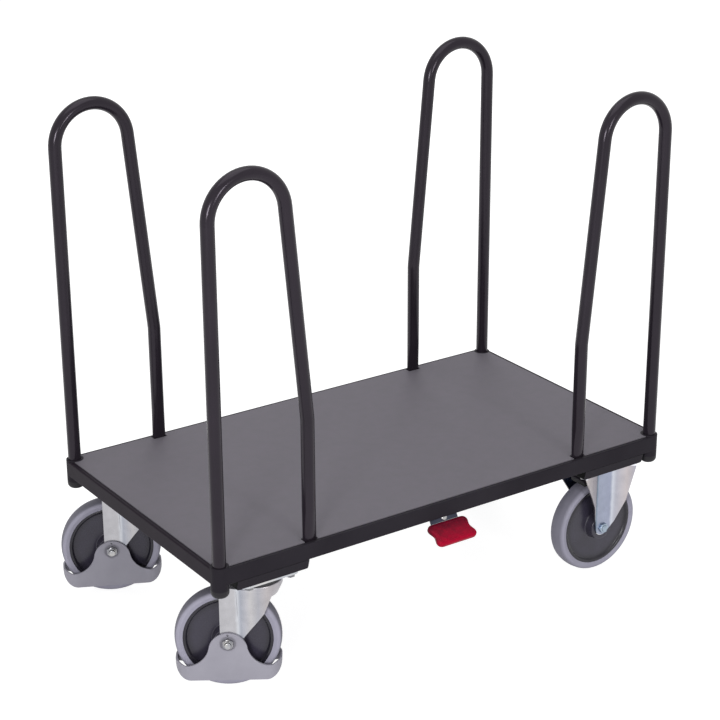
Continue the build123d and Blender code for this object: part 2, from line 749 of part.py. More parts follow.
for side, sy in sides:
    axle_foot = Vector(axle_x, sy * castor_y, 0)
    with BuildPart() as fixed_fork:
        for way in (-1, 1):
            plan = Plane(axle_foot, x_dir=(1, 0, 0), z_dir=(0, 0, way))
            with BuildSketch(plan):
                make_face(leg_section())
            extrude(amount=way * carrier_bottom)
            with BuildSketch(plan.offset(way * plate_bottom)):
                make_face(half_plate())
            extrude(amount=way * plate_thickness)
        with BuildSketch(Plane(axle_foot, x_dir=(1, 0, 0), z_dir=(0, -1, 0))):
            make_face(fork_outline())
            for ahead, rise in fixed_front_edge + fixed_back_edge:
                fillet(level(wheel_radius + rise), fixed_edge_radius)
            with Locations((0, wheel_radius)):
                Circle(axle_hole, mode=Mode.SUBTRACT)
        extrude(amount=fixed_plate_length, both=True, mode=Mode.INTERSECT)
        with Locations((castor_x, sy * castor_y, carrier_bottom)):
            with GridLocations(fixed_bolt_x, fixed_bolt_y, 2, 2):
                Cylinder(bolt_diameter / 2 + bolt_hole_clearance, 4 * plate_thickness, mode=Mode.SUBTRACT)
    save(fixed_fork, f"fixed_fork_{side}")

# Fixed axle bolts, nuts and tubes, one of each to a castor.
with BuildPart() as fixed_axle_bolts:
    for sy in (-1, 1):
        with BuildSketch(fixed_side.offset(-sy * castor_y - leg_outer)):
            with Locations((0, wheel_radius)):
                RegularPolygon(axle_nut_size / 2, 6, major_radius=False)
        extrude(amount=-fixed_nut_height)
        with BuildSketch(fixed_side.offset(-sy * castor_y - leg_outer)):
            with Locations((0, wheel_radius)):
                Circle(axle_diameter / 2)
        extrude(amount=2 * leg_outer + fixed_nut_height + fixed_bolt_end)
save(fixed_axle_bolts, "fixed_axle_bolts")

with BuildPart() as fixed_axle_nuts:
    for sy in (-1, 1):
        with BuildSketch(fixed_side.offset(-sy * castor_y + leg_outer)):
            with Locations((0, wheel_radius)):
                RegularPolygon(axle_nut_size / 2, 6, major_radius=False)
                Circle(axle_hole, mode=Mode.SUBTRACT)
        extrude(amount=fixed_nut_height)
save(fixed_axle_nuts, "fixed_axle_nuts")

with BuildPart() as fixed_axle_tubes:
    for sy in (-1, 1):
        with BuildSketch(fixed_side.offset(-sy * castor_y)):
            with Locations((0, wheel_radius)):
                Circle(axle_tube_diameter / 2)
                Circle(axle_hole, mode=Mode.SUBTRACT)
        extrude(amount=leg_inner, both=True)
save(fixed_axle_tubes, "fixed_axle_tubes")

# Wheels: a moulded rim with its hub, a tyre moulded on it, and two ball bearings in the hub. The
# profiles are drawn with radius along the sketch's X and width along its Y, and turned about Y.
hub_half = hub_length / 2 - side_clearance
seat_radius = bearing_diameter / 2
seat_depth = bearing_width + running_clearance
rim_radius = wheel_radius - tyre_thickness
hub_radius = hub_diameter / 2
slope_foot = rim_radius - rim_flange - rim_slope
wheels = [(f"swivel_{side}", wheel_at, heading) for side, heading, kingpin_at, wheel_at in swivels]
wheels += [(f"fixed_{side}", Vector(axle_x, sy * castor_y, 0), Vector(1, 0, 0)) for side, sy in sides]
for wheel_name, wheel_at, heading in wheels:
    axle_way = heading.cross(up)
    centre = wheel_at + Vector(0, 0, wheel_radius)
    profile = Plane(centre, x_dir=(0, 0, 1), z_dir=Vector(0, 0, 1).cross(axle_way))
    spin_axis = Axis(centre, axle_way)

    with BuildPart() as wheel_rim:
        with BuildSketch(profile):
            with BuildLine():
                Polyline(
                    (seat_radius, 0),
                    (seat_radius, hub_half),
                    (hub_radius, hub_half),
                    (hub_radius + hub_taper, rim_web_half),
                    (slope_foot, rim_web_half),
                    (rim_radius - rim_flange, rim_half_width),
                    (rim_radius, rim_half_width),
                    (rim_radius, 0),
                    close=True,
                )
            make_face()
            with BuildLine():
                Polyline(
                    (axle_tube_diameter, 0),
                    (axle_tube_diameter, hub_half - seat_depth),
                    (seat_radius, hub_half - seat_depth),
                    (seat_radius, 0),
                    close=True,
                )
            make_face()
            mirror(about=Plane.XZ)
        revolve(axis=spin_axis)
    save(wheel_rim, f"wheel_rim_{wheel_name}")

    with BuildPart() as tyre:
        tread_edge = tyre_half_width - tyre_shoulder
        tread_radius = wheel_radius - tyre_crown
        with BuildSketch(profile):
            with BuildLine():
                ThreePointArc((tread_radius, -tread_edge), (wheel_radius, 0), (tread_radius, tread_edge))
                for way in (-1, 1):
                    Line((rim_radius + bond_gap, 0), (rim_radius + bond_gap, way * rim_half_width))
                    Line(
                        (rim_radius + bond_gap, way * rim_half_width),
                        (tread_radius - tyre_shoulder, way * tyre_half_width),
                    )
                    RadiusArc(
                        (tread_radius - tyre_shoulder, way * tyre_half_width),
                        (tread_radius, way * tread_edge),
                        way * tyre_shoulder,
                    )
            make_face()
        revolve(axis=spin_axis)
    save(tyre, f"tyre_{wheel_name}")

    bore_radius = axle_tube_diameter / 2 + running_clearance
    groove_in = bore_radius + bearing_ring_width
    groove_out = seat_radius - bearing_ring_width
    with BuildPart() as bearings:
        with BuildSketch(profile):
            for way in (-1, 1):
                with Locations((bore_radius, way * hub_half)):
                    inboard = Align.MAX if way > 0 else Align.MIN
                    ring_depth = seat_radius - bond_gap - bore_radius
                    Rectangle(ring_depth, bearing_width, align=(Align.MIN, inboard))
                with Locations((groove_in, way * hub_half)):
                    Rectangle(
                        groove_out - groove_in,
                        2 * bearing_groove_depth,
                        align=(Align.MIN, Align.CENTER),
                        mode=Mode.SUBTRACT,
                    )
        revolve(axis=spin_axis)
    save(bearings, f"wheel_bearings_{wheel_name}")

# Pedal: a wide lever welded to a hinge tube, with a lifting arm on the inner side of the tube. The lever
# leaves the tube level, drops behind the rail and bends out again under the pad.
pivot_y = -half_y + pedal_pivot_inset
pivot_z = frame_bottom - pedal_pivot_drop
arm_y = castor_y - tyre_half_width - rocker_tyre_gap - rocker_thickness
pedal_arm_reach = -pivot_y - arm_y
slope = radians(pedal_slope)
drop_slope = radians(pedal_drop_slope)
tube_half = pedal_tube_length / 2
pedal_tube_radius = pedal_tube_diameter / 2
pin_radius = pedal_pin_diameter / 2
lever_top = pivot_z + pedal_tube_radius + pedal_lever_thickness / 2
lever_end = pad_start + pad_length - pad_end_wall
bend_y = pivot_y - pedal_bend_reach
bend_z = pivot_z - pedal_bend_drop
bend = Vector(pedal_x, bend_y, bend_z)
drop_normal = (0, -sin(drop_slope), cos(drop_slope))
drop_plane = Plane(bend, x_dir=(0, cos(drop_slope), sin(drop_slope)), z_dir=drop_normal)
pad_plane = Plane(bend, x_dir=(0, -cos(slope), -sin(slope)), z_dir=(0, -sin(slope), cos(slope)))
arm_top = pivot_z - pedal_arm_drop


def lever_section():
    """Side section of the lever, drawn along its upper face from the tube to its end inside the pad."""
    with BuildLine() as outline:
        FilletPolyline(
            (pivot_y + pedal_tube_radius / 2, lever_top),
            (bend_y + (lever_top - bend_z) / tan(drop_slope), lever_top),
            (bend_y, bend_z),
            (bend_y - lever_end * cos(slope), bend_z - lever_end * sin(slope)),
            radius=pedal_bend_radius,
        )
        offset(amount=pedal_lever_thickness, side=Side.LEFT)
    return outline.edges()


with BuildPart() as pedal_lever:
    with BuildSketch(Plane.YZ.offset(pedal_x)):
        with Locations((pivot_y, pivot_z)):
            Circle(pedal_tube_radius)
    extrude(amount=tube_half, both=True)
    with BuildSketch(Plane.YZ.offset(pedal_x)):
        make_face(lever_section())
    extrude(amount=pedal_lever_width / 2, both=True)
    with BuildSketch(drop_plane):
        with Locations((rivet_rise, 0)):
            Circle(rivet_diameter / 2)
    extrude(amount=rivet_height)
    fillet(edges(Select.LAST).group_by(Axis(bend, drop_plane.z_dir))[-1], rivet_round)
    with BuildSketch(Plane.YZ.offset(pedal_x)):
        with BuildLine():
            Polyline(
                (pivot_y, pivot_z),
                (pivot_y + pedal_arm_reach - pedal_tip_length, arm_top),
                (pivot_y + pedal_arm_reach, arm_top),
                (pivot_y + pedal_arm_reach, arm_top - pedal_arm_thickness),
                (pivot_y + pedal_arm_reach - pedal_tip_length, arm_top - pedal_arm_thickness),
                (pivot_y, pivot_z - pedal_arm_thickness),
                close=True,
            )
        make_face()
    extrude(amount=pedal_arm_width / 2, both=True)
    with BuildSketch(Plane.YZ.offset(pedal_x)):
        with Locations((pivot_y, pivot_z)):
            Circle(pin_radius + running_clearance)
    extrude(amount=tube_half, both=True, mode=Mode.SUBTRACT)
save(pedal_lever, "pedal_lever")

# Pedal pad: moulded red plastic with waisted sides, pushed over the end of the lever.
pad_middle = pad_start + pad_length / 2
pad_end = pad_start + pad_length
pad_thickness = pedal_lever_thickness + 2 * pad_cover
with BuildPart() as pedal_pad:
    with BuildSketch(pad_plane.offset(-pedal_lever_thickness - pad_cover)):
        with BuildLine():
            Polyline(
                (pad_start, -pad_span / 2),
                (pad_middle, pad_waist - pad_span / 2),
                (pad_end, -pad_span / 2),
                (pad_end, pad_span / 2),
                (pad_middle, pad_span / 2 - pad_waist),
                (pad_start, pad_span / 2),
                close=True,
            )
        make_face()
        fillet(vertices(), pad_corner)
    extrude(amount=pad_thickness)
    across_pad = Axis(bend, pad_plane.z_dir)
    fillet(edges().group_by(across_pad)[-1] + edges().group_by(across_pad)[0], pad_edge_round)
    with BuildSketch(pad_plane.offset(-pedal_lever_thickness)):
        Rectangle(lever_end, pedal_lever_width, align=(Align.MIN, Align.CENTER))
    extrude(amount=pedal_lever_thickness, mode=Mode.SUBTRACT)
save(pedal_pad, "pedal_pad")

# Pedal bracket: two lugs welded under the front rail's ledge, and the pin that the tube turns on.
with BuildPart() as pedal_bracket:
    for way in (-1, 1):
        with BuildSketch(Plane.YZ.offset(pedal_x + way * (tube_half + lug_gap))):
            with BuildSketch(mode=Mode.PRIVATE) as lug_outline:
                with Locations((pivot_y, pivot_z)):
                    Circle(lug_eye_radius)
                with Locations((pivot_y, ledge_bottom)):
                    Rectangle(lug_width, lug_thickness, align=(Align.MAX, Align.MAX))
            make_hull(lug_outline.sketch.edges())
            with Locations((pivot_y, pivot_z)):
                Circle(pin_radius + running_clearance, mode=Mode.SUBTRACT)
        extrude(amount=way * lug_thickness)
save(pedal_bracket, "pedal_bracket")

lug_outside = tube_half + lug_gap + lug_thickness
with BuildPart() as pedal_pin:
    with BuildSketch(Plane.YZ.offset(pedal_x - lug_outside)):
        with Locations((pivot_y, pivot_z)):
            Circle(pin_radius)
    extrude(amount=2 * lug_outside + pin_end)
    with BuildSketch(Plane.YZ.offset(pedal_x - lug_outside)):
        with Locations((pivot_y, pivot_z)):
            Circle(pin_head_diameter / 2)
    extrude(amount=-pin_head_thickness)
save(pedal_pin, "pedal_pin")

# Brake rocker: a shaft across the trolley ahead of the fixed wheels. The pedal's arm lifts the long arm
# on the front end, and both ends then press a shoe down on a fixed wheel's tread.
shaft_x = axle_x - shaft_from_axle
shaft_z = frame_bottom - shaft_drop
shaft_radius = shaft_diameter / 2
bracket_y = arm_y - bracket_from_arm
shoe_way = radians(shoe_angle)
pad_radius = wheel_radius + shoe_gap
plate_radius = pad_radius + shoe_pad_thickness
shoe_x = axle_x - (plate_radius + shoe_plate / 2) * sin(shoe_way)
shoe_z = wheel_radius + (plate_radius + shoe_plate / 2) * cos(shoe_way)
rocker_low = arm_top + rocker_gap
shoe_width = castor_y + tyre_half_width + shoe_overhang - arm_y


def shoe_plane(sy, radius):
    """Plane on a fixed wheel's tread at the shoe, radius away from the axle, X towards the tread's top."""
    foot = Vector(axle_x - radius * sin(shoe_way), sy * arm_y, wheel_radius + radius * cos(shoe_way))
    return Plane(foot, x_dir=(cos(shoe_way), 0, sin(shoe_way)), z_dir=(-sin(shoe_way), 0, cos(shoe_way)))


def shoe_blank(sy, start):
    """Rectangle over the tread's width, from start past the arm's inner face outwards."""
    with Locations((0, sy * start)):
        side_align = Align.MIN if sy > 0 else Align.MAX
        Rectangle(shoe_length, shoe_width - start, align=(Align.CENTER, side_align))


with BuildPart() as brake_shaft:
    shaft_plane = Plane((shaft_x, 0, shaft_z), x_dir=(1, 0, 0), z_dir=(0, -1, 0))
    with BuildSketch(shaft_plane):
        Circle(shaft_radius)
    extrude(amount=arm_y + rocker_thickness, both=True)
    for way in (-1, 1):
        with BuildSketch(shaft_plane.offset(way * (bracket_y + bracket_thickness / 2 + side_clearance))):
            Circle(shaft_collar_diameter / 2)
        extrude(amount=way * shaft_collar_width)
save(brake_shaft, "brake_shaft")

with BuildPart() as brake_arms:
    for sy in (-1, 1):
        with BuildSketch(Plane((0, sy * arm_y, 0), x_dir=(1, 0, 0), z_dir=(0, -1, 0))):
            with BuildSketch(mode=Mode.PRIVATE) as short_arm:
                with Locations((shaft_x, shaft_z)):
                    Circle(rocker_eye_radius)
                with Locations((shoe_x, shoe_z)):
                    Circle(rocker_height / 2)
            make_hull(short_arm.sketch.edges())
            if sy < 0:
                with BuildSketch(mode=Mode.PRIVATE) as long_arm:
                    with Locations((shaft_x, shaft_z)):
                        Circle(rocker_eye_radius)
                    with Locations((pedal_x, rocker_low + rocker_height / 2)):
                        Rectangle(2 * rocker_end, rocker_height)
                make_hull(long_arm.sketch.edges())
                with Locations((pedal_x, rocker_low)):
                    below = (Align.CENTER, Align.MAX)
                    Rectangle(4 * rocker_end, rocker_height, align=below, mode=Mode.SUBTRACT)
            with Locations((shaft_x, shaft_z)):
                Circle(shaft_radius + running_clearance, mode=Mode.SUBTRACT)
        extrude(amount=-sy * rocker_thickness)
        with BuildSketch(shoe_plane(sy, plate_radius)):
            shoe_blank(sy, 0)
        extrude(amount=shoe_plate)
save(brake_arms, "brake_arms")

with BuildPart() as brake_pads:
    for sy in (-1, 1):
        with BuildSketch(shoe_plane(sy, pad_radius)):
            shoe_blank(sy, rocker_thickness + side_clearance)
        extrude(amount=shoe_pad_thickness)
save(brake_pads, "brake_pads")

# Brake shaft brackets: welded to the inner face of the fixed castors' carrier.
carrier_face = castor_x - carrier_width / 2
with BuildPart() as shaft_brackets:
    for sy in (-1, 1):
        with BuildSketch(Plane((0, sy * bracket_y, 0), x_dir=(1, 0, 0), z_dir=(0, -1, 0))):
            with BuildSketch(mode=Mode.PRIVATE) as bracket_outline:
                with Locations((shaft_x, shaft_z)):
                    Circle(bracket_eye_radius)
                with Locations((carrier_face, carrier_bottom + carrier_edge_round)):
                    inside_face = (Align.MAX, Align.MIN)
                    Rectangle(bracket_thickness, bracket_height - carrier_edge_round, align=inside_face)
            make_hull(bracket_outline.sketch.edges())
            with Locations((shaft_x, shaft_z)):
                Circle(shaft_radius + running_clearance, mode=Mode.SUBTRACT)
        extrude(amount=bracket_thickness / 2, both=True)
save(shaft_brackets, "shaft_brackets")

lift_arm = shaft_x - pedal_x - pedal_arm_width / 2
press = radians(pedal_travel)
lift = pedal_arm_reach * sin(press) + pedal_arm_drop * (1 - cos(press))
rocker_travel = degrees(asin(lift / lift_arm))
print(f"hoop lean {degrees(lean):.2f} degrees, pedal lift {lift:.2f} mm")
print(f"rocker travel {rocker_travel:.3f} degrees, ratio {rocker_travel / pedal_travel:.5f}")
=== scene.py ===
"""Side rail trolley: its finishes and its finer pieces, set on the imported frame, in metres."""

import json
import math

import bmesh
import bpy
from mathutils import Matrix, Vector

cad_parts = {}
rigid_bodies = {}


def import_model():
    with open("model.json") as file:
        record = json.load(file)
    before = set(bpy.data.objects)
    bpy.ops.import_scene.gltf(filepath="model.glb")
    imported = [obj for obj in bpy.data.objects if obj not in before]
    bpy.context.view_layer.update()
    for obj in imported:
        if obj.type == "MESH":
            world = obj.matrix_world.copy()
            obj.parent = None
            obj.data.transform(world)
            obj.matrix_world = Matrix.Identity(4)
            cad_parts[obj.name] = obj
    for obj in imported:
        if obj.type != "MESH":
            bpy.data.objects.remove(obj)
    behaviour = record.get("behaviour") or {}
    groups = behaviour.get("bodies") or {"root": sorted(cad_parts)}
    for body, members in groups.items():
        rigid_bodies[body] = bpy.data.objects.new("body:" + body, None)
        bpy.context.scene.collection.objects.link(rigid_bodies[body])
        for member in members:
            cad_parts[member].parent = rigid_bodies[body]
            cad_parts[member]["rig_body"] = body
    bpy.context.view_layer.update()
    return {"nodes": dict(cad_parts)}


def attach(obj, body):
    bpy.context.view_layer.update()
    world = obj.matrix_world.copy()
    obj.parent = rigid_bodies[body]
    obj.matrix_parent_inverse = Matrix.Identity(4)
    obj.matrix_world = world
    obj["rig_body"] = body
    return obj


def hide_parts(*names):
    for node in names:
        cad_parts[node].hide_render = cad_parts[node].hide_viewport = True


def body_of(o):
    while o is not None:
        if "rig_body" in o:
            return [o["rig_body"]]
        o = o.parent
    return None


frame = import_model()
nodes = frame["nodes"]
scene = bpy.context.scene


# Rails and corner sleeves: a rolled steel section and pipe stubs, welded into one frame. The frame is
# powder coated after welding, so one film runs over the seams.
sides = ("front", "rear")
corners = [f"{side}_{end}" for side in sides for end in ("left", "right")]
# Grain, streaks and edge roundings are written in millimetres.
mm = 0.001
# Most of a noise lies between these values, so a finish is spread over them.
noise_span = {"From Min": 0.3, "From Max": 0.7}


def linear(colour):
    """Turn an sRGB hex colour into linear red, green, blue and alpha."""
    parts = [int(colour[i : i + 2], 16) / 255 for i in (1, 3, 5)]
    return [p / 12.92 if p <= 0.04045 else ((p + 0.055) / 1.055) ** 2.4 for p in parts] + [1.0]


def add_node(tree, kind, sockets=None, **settings):
    """Add one node, set its properties, and fill its sockets with values or with other nodes' outputs."""
    node = tree.nodes.new(kind)
    for key, value in settings.items():
        setattr(node, key, value)
    for key, value in (sockets or {}).items():
        if isinstance(value, bpy.types.NodeSocket):
            tree.links.new(value, node.inputs[key])
        else:
            node.inputs[key].default_value = value
    return node


def new_material(name):
    """An empty material, with its node tree and the piece's own coordinates."""
    material = bpy.data.materials.new(name)
    material.use_nodes = True
    tree = material.node_tree
    tree.nodes.clear()
    return material, tree, add_node(tree, "ShaderNodeTexCoord").outputs["Object"]


def finish_material(tree, shader):
    """Send a shader to the material's output."""
    add_node(tree, "ShaderNodeOutputMaterial", {"Surface": shader.outputs[0]})


def grained(name, tones, patch, grain, relief, roughness, shade=None, **sockets):
    """A finish of two close tones in soft patches, with a fine grain in its relief and gloss. A shade, if
    there is one, is called with the tree and the coordinates, and darkens the tones."""
    material, tree, place = new_material(name)
    patches = add_node(tree, "ShaderNodeTexNoise", {"Vector": place, "Scale": 1 / patch, "Detail": 3.0})
    grains = add_node(tree, "ShaderNodeTexNoise", {"Vector": place, "Scale": 1 / grain, "Detail": 2.0})
    drift = add_node(tree, "ShaderNodeMapRange", {"Value": patches.outputs["Fac"], **noise_span})
    colour = add_node(
        tree,
        "ShaderNodeMix",
        {0: drift.outputs[0], 6: linear(tones[0]), 7: linear(tones[1])},
        data_type="RGBA",
    )
    if shade:
        colour = add_node(
            tree,
            "ShaderNodeMix",
            {0: 1.0, 6: colour.outputs[2], 7: shade(tree, place)},
            data_type="RGBA",
            blend_type="MULTIPLY",
        )
    gloss = add_node(
        tree,
        "ShaderNodeMapRange",
        {"Value": grains.outputs["Fac"], **noise_span, "To Min": roughness[0], "To Max": roughness[1]},
    )
    bumps = add_node(tree, "ShaderNodeBump", {"Height": grains.outputs["Fac"], "Distance": relief})
    shader = add_node(
        tree,
        "ShaderNodeBsdfPrincipled",
        {"Base Color": colour.outputs[2], "Roughness": gloss.outputs[0], "Normal": bumps.outputs[0]},
    )
    for key, value in sockets.items():
        shader.inputs[key.replace("_", " ").title().replace("Ior", "IOR")].default_value = value
    finish_material(tree, shader)
    return material


def paint(names, material):
    """Give carried-over nodes a material in place of their own."""
    for name in names:
        slots = nodes[name].data.materials
        slots.clear()
        slots.append(material)


# Baked polyester powder: dark and nearly matt on the flat sections, with a faint orange peel.
coat_tones = ("#262329", "#2c292f")
peel_width = 1.4 * mm
peel_height = 0.02 * mm
sag_width = 90 * mm
powder = {
    "patch": sag_width,
    "grain": peel_width,
    "relief": peel_height,
    "roughness": (0.4, 0.5),
    "specular_ior_level": 0.05,
}
coat = grained("anthracite_powder_coat", coat_tones, **powder)
paint(["front_rail", "rear_rail"], coat)
paint([f"corner_sleeve_{corner}" for corner in corners], coat)

# The end rails get a darker, warmer copy of the powder: the darkening is painted shade.
end_coat = grained("end_rail_coat_with_painted_shade", ("#211b23", "#262028"), **powder)
paint(["left_end_rail", "right_end_rail"], end_coat)

# Hoops: steel tube bent cold into a tall arch, one leg in a corner sleeve, the other flattened at its foot
# and tucked behind the rim. They are coated apart from the frame.
# The same powder over drawn tube lies smoother: the bends show narrow, bright streaks.
tube_coat = grained(
    "smooth_powder_coat",
    ("#1b171d", "#211c23"),
    patch=sag_width,
    grain=peel_width,
    relief=0.0015 * mm,
    roughness=(0.17, 0.21),
    specular_ior_level=0.27,
    specular_tint=(0.95, 0.86, 1, 1),
)
paint([f"hoop_{corner}" for corner in corners], tube_coat)

# Sleeve caps: soft black plugs pushed into the sleeves' lower ends. Moulded polyethylene has a waxy, dull
# skin with a fine spark-eroded grain, drawn coarser than it is so that it shows.
cap_plastic = grained(
    "black_polyethylene",
    ("#201f23", "#272529"),
    patch=30 * mm,
    grain=0.8 * mm,
    relief=0.03 * mm,
    roughness=(0.45, 0.55),
    specular_ior_level=0.2,
)
paint(["sleeve_caps"], cap_plastic)

# Deck board: plywood faced with grey resin film, cut to drop inside the rim. The film is matt and even,
# with the pressed wire-mesh grain only just there.
deck_film = grained(
    "grey_resin_film",
    ("#6d6a71", "#706c74"),
    patch=20 * mm,
    grain=2.2 * mm,
    relief=0.012 * mm,
    roughness=(0.58, 0.64),
    specular_ior_level=0.2,
)
paint(["deck_board"], deck_film)

# Castor carriers: sheet steel trays folded along both edges and welded under the frame, coated with it.
# The folded wall towards the swivel end is painted near black: painted shade where the frame shadows it.
wall_facing = {"From Min": -0.5, "From Max": -0.9}
painted_shade_black = "#060607"
material, tree, place = new_material("carrier_coat_with_painted_shade")
facing = add_node(tree, "ShaderNodeTexCoord").outputs["Normal"]
away = add_node(tree, "ShaderNodeSeparateXYZ", {"Vector": facing}).outputs["X"]
# Painted shade: walls that face the swivel end turn near black.
painted_shade_mask = add_node(tree, "ShaderNodeMapRange", {"Value": away, **wall_facing})
mist = add_node(tree, "ShaderNodeTexNoise", {"Vector": place, "Scale": 1 / peel_width, "Detail": 2.0})
film = add_node(
    tree,
    "ShaderNodeMix",
    {0: mist.outputs["Fac"], 6: linear(coat_tones[0]), 7: linear(coat_tones[1])},
    data_type="RGBA",
)
film_and_painted_shade = add_node(
    tree, "ShaderNodeMix", {0: painted_shade_mask.outputs[0], 6: film.outputs[2], 7: linear(painted_shade_black)}, data_type="RGBA"
)
dullness = add_node(tree, "ShaderNodeMapRange", {"Value": mist.outputs["Fac"], "To Min": 0.4, "To Max": 0.6})
peel = add_node(tree, "ShaderNodeBump", {"Height": mist.outputs["Fac"], "Distance": peel_height})
shader = add_node(
    tree,
    "ShaderNodeBsdfPrincipled",
    {
        "Base Color": film_and_painted_shade.outputs[2],
        "Roughness": dullness.outputs[0],
        "Normal": peel.outputs[0],
        "Specular IOR Level": 0.05,
    },
)
finish_material(tree, shader)
paint(["swivel_carrier", "fixed_carrier"], material)


# Castor bolts and nuts: M10 hexagon steel, four to each castor, cold forged with chamfered corners and zinc
# plated. They clamp the castors' plates to the carriers.
merge_reach = 1e-6
flat_angle = math.radians(0.5)
sharp_angle = math.radians(40)
streak_stretch = (1.0, 1.0, 0.06)
streak_depth = 0.01 * mm


def settle(build, name, sharp, material):
    """Turn a bmesh into a linked object, smooth apart from the edges over a sharp angle."""
    mesh = bpy.data.meshes.new(name)
    build.to_mesh(mesh)
    build.free()
    for layer in ("custom_normal", "material_index"):
        if layer in mesh.attributes:
            mesh.attributes.remove(mesh.attributes[layer])
    mesh.shade_smooth()
    mesh.set_sharp_from_angle(angle=sharp)
    mesh.materials.append(material)
    piece = bpy.data.objects.new(name, mesh)
    scene.collection.objects.link(piece)
    return piece


def eased(name, width, material):
    """A merged copy of a carried-over node with its sharp edges rounded, in that node's place."""
    build = bmesh.new()
    build.from_mesh(nodes[name].data)
    bmesh.ops.remove_doubles(build, verts=build.verts, dist=merge_reach)
    bmesh.ops.dissolve_limit(
        build, angle_limit=flat_angle, verts=build.verts, edges=build.edges, use_dissolve_boundaries=False
    )
    piece = settle(build, f"{name}_eased", sharp_angle, material)
    rounding = piece.modifiers.new("edge_rounding", "BEVEL")
    rounding.width = width
    rounding.segments = 2
    rounding.limit_method = "ANGLE"
    rounding.angle_limit = sharp_angle
    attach(piece, body_of(nodes[name])[0])
    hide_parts(name)
    return piece


def finish_metal(tree, place, colour, streak, roughness):
    """End a metal's tree: its gloss and relief run in streaks from rolling, drawn coarser than they are
    so that they show."""
    stretched = add_node(tree, "ShaderNodeMapping", {"Vector": place, "Scale": streak_stretch})
    streaks = add_node(
        tree, "ShaderNodeTexNoise", {"Vector": stretched.outputs[0], "Scale": 1 / streak, "Detail": 2.0}
    )
    gloss = add_node(
        tree,
        "ShaderNodeMapRange",
        {"Value": streaks.outputs["Fac"], **noise_span, "To Min": roughness[0], "To Max": roughness[1]},
    )
    bumps = add_node(tree, "ShaderNodeBump", {"Height": streaks.outputs["Fac"], "Distance": streak_depth})
    shader = add_node(
        tree,
        "ShaderNodeBsdfPrincipled",
        {"Base Color": colour, "Metallic": 1.0, "Roughness": gloss.outputs[0], "Normal": bumps.outputs[0]},
    )
    finish_material(tree, shader)


def plated(name, cool, warm, patch, streak, roughness):
    """Plated or ground steel whose tint drifts from cool to warm, with fine streaks from rolling."""
    material, tree, place = new_material(name)
    patches = add_node(tree, "ShaderNodeTexNoise", {"Vector": place, "Scale": 1 / patch, "Detail": 2.0})
    drift = add_node(tree, "ShaderNodeMapRange", {"Value": patches.outputs["Fac"], **noise_span})
    colour = add_node(
        tree, "ShaderNodeMix", {0: drift.outputs[0], 6: linear(cool), 7: linear(warm)}, data_type="RGBA"
    )
    finish_metal(tree, place, colour.outputs[2], streak, roughness)
    return material


# Zinc from a barrel bath, grey and cloudy, with no sparkle; its darker grey is painted shade for bolts under
# the plates.
barrel_cloud = 12 * mm
barrel_streak = 0.9 * mm
shaded_zinc = plated("zinc_plate_with_painted_shade", "#6b6e76", "#8b8988", barrel_cloud, barrel_streak, (0.34, 0.44))
for name in ("castor_bolts", "castor_nuts"):
    eased(name, 0.8 * mm, shaded_zinc)


# Fixed castor forks: 3.5 mm steel sheet pressed into a plate with two flanged legs, then zinc plated and
# blue passivated. Bands of painted reflection run across the legs, bluish on the flat channel and pale on
# the flanges and bends; a painted highlight runs along the bend to the plate, and painted shade darkens
# the faces inside the legs.
zinc_cloud = 18 * mm
cloud_shades = {"From Min": 0.35, "From Max": 0.65, "To Min": 0.93, "To Max": 1.03}
band_sway = 1.6 * mm
bend_fade = 0.8 * mm
painted_highlight_zinc = "#ececf4"
painted_shade_zinc = "#383e52"
inside_facing = {"From Min": -6 * mm, "From Max": -18 * mm}
sheet_streak = 1.6 * mm


